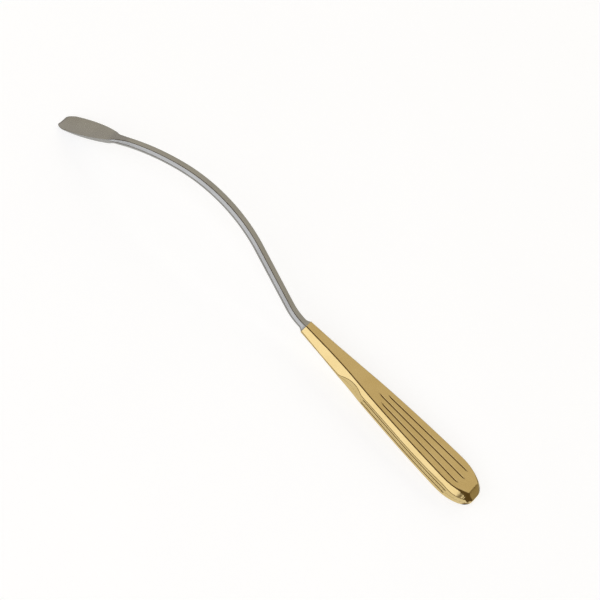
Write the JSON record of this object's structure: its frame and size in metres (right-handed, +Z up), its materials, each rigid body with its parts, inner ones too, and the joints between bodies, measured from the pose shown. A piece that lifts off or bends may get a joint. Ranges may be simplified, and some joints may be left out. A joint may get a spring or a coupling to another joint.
{
  "type": "periosteal elevator",
  "caption": "Long S-shaped surgical elevator with a thin leaf blade, used for lifting tissue, on a broad, hollow, faceted and fluted handle.",
  "frame": {"origin": "on the surface it lies on, under the middle of its length and width", "axes": "+X along the instrument from the blade to the butt, +Y across it, +Z up"},
  "size_m": [0.2398, 0.019, 0.0353],
  "materials": {
    "satin_steel": "satin polished forging",
    "turned_steel": "turned, inside the handle",
    "gold_plate": "gold plate on pressed steel, satin polished"
  },
  "bodies": {
    "root": {"blade_shank": "satin_steel", "neck_bush": "turned_steel", "tang_pin": "turned_steel", "shell_upper": "gold_plate", "shell_lower": "gold_plate", "butt_cap": "gold_plate", "vent_plug": "gold_plate"}
  },
  "joints": []
}
